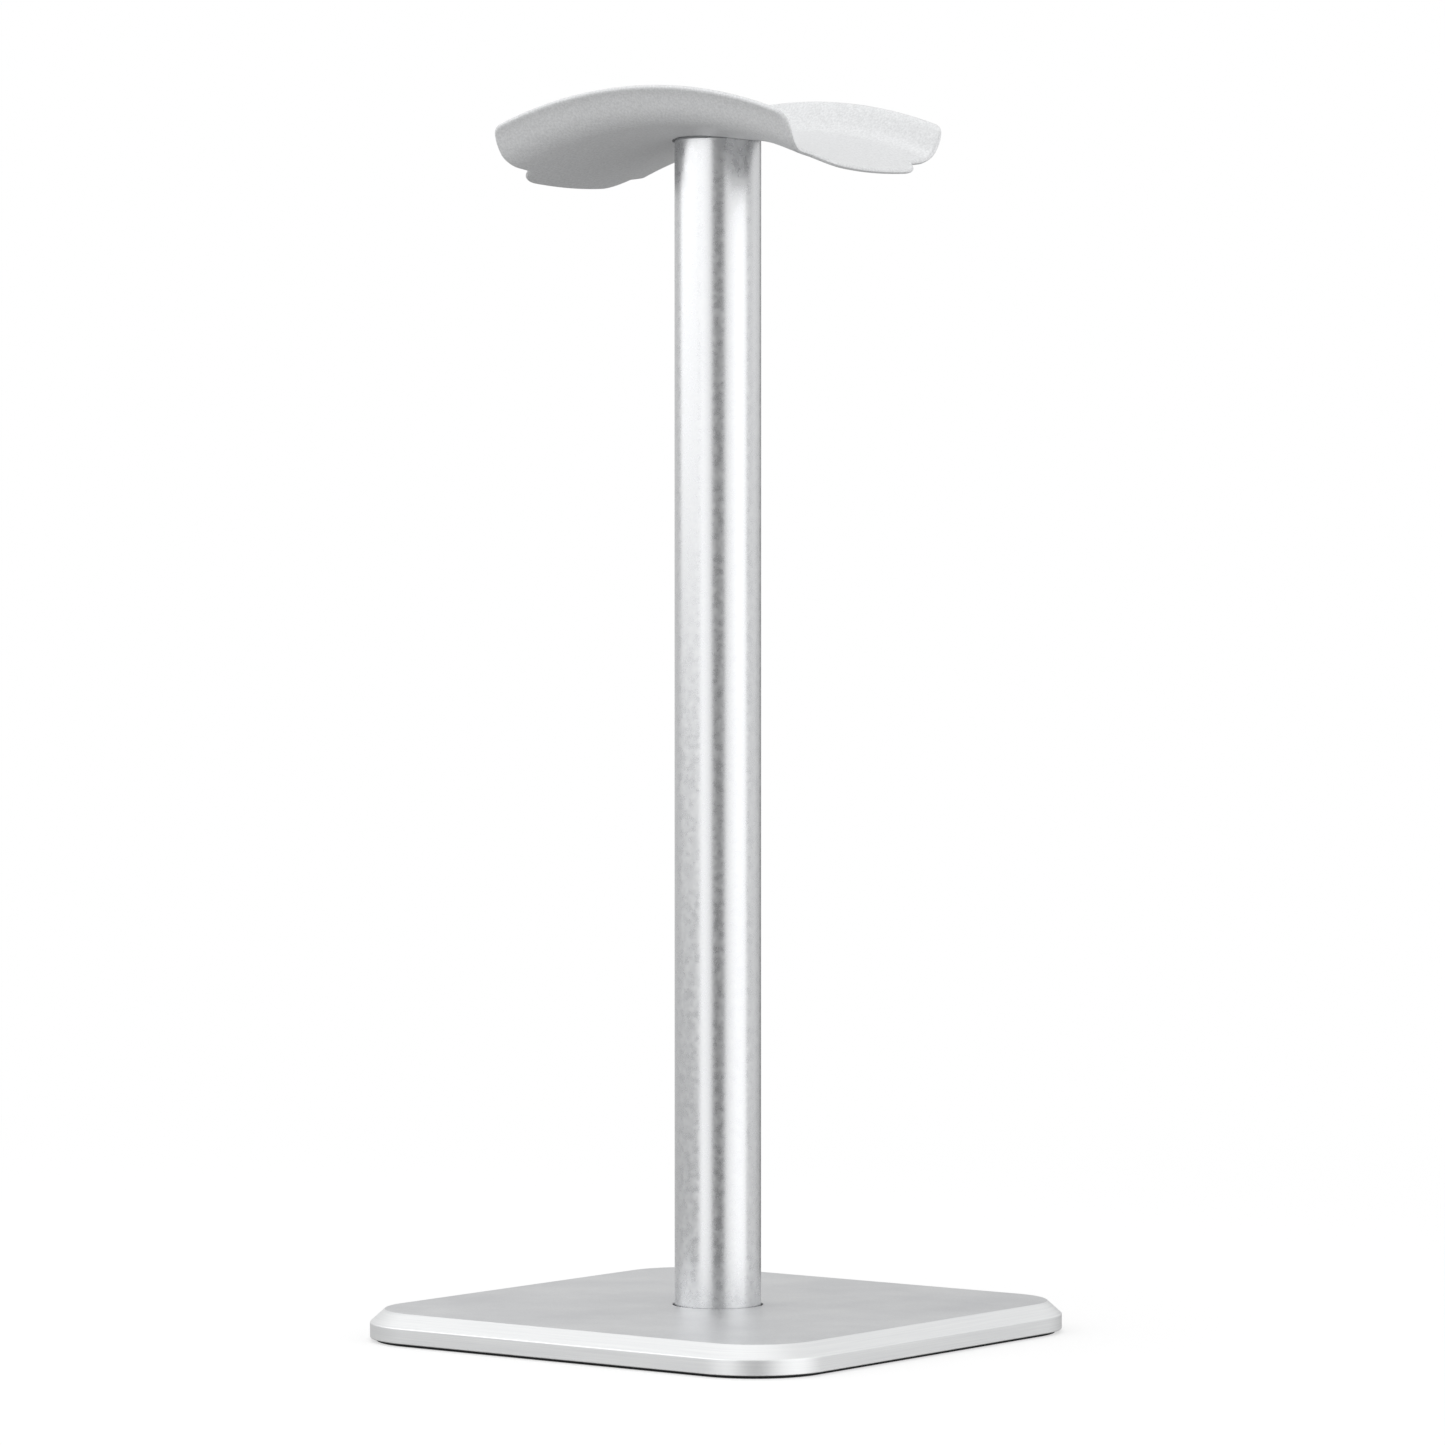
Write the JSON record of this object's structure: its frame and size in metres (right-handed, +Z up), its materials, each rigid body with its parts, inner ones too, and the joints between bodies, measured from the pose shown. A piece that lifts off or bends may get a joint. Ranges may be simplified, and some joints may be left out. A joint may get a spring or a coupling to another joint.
{
  "type": "headphone stand",
  "caption": "Free-standing headphone stand: square weighted base with anti-slip pad, round aluminium pole and an arched, flanged saddle that holds the headband.",
  "frame": {"origin": "on the table, under the pole's axis, at the middle of the base pad's underside", "axes": "+Z up along the pole, X along the headband that lies in the saddle, Y across it"},
  "size_m": [0.1, 0.1, 0.2299],
  "materials": {
    "cover_aluminium": "bead-blasted and silver anodised, with a milled chamfer",
    "pole_aluminium": "satin silver anodised tube",
    "plug_aluminium": "turned, uncoated",
    "saddle_plastic": "silver-grey moulded ABS with a fine spark-eroded grain",
    "ballast_steel": "zinc plated sheet",
    "screw_steel": "nickel plated",
    "pad_rubber": "black, finely textured"
  },
  "bodies": {
    "root": {"base_pad": "pad_rubber", "base_weight": "ballast_steel", "base_cover": "cover_aluminium", "weight_screw_1": "screw_steel", "weight_screw_2": "screw_steel", "weight_screw_3": "screw_steel", "weight_screw_4": "screw_steel", "base_bolt": "screw_steel", "foot_plug": "plug_aluminium", "pole": "pole_aluminium", "head_plug": "plug_aluminium", "saddle": "saddle_plastic", "saddle_screw": "screw_steel"}
  },
  "joints": []
}
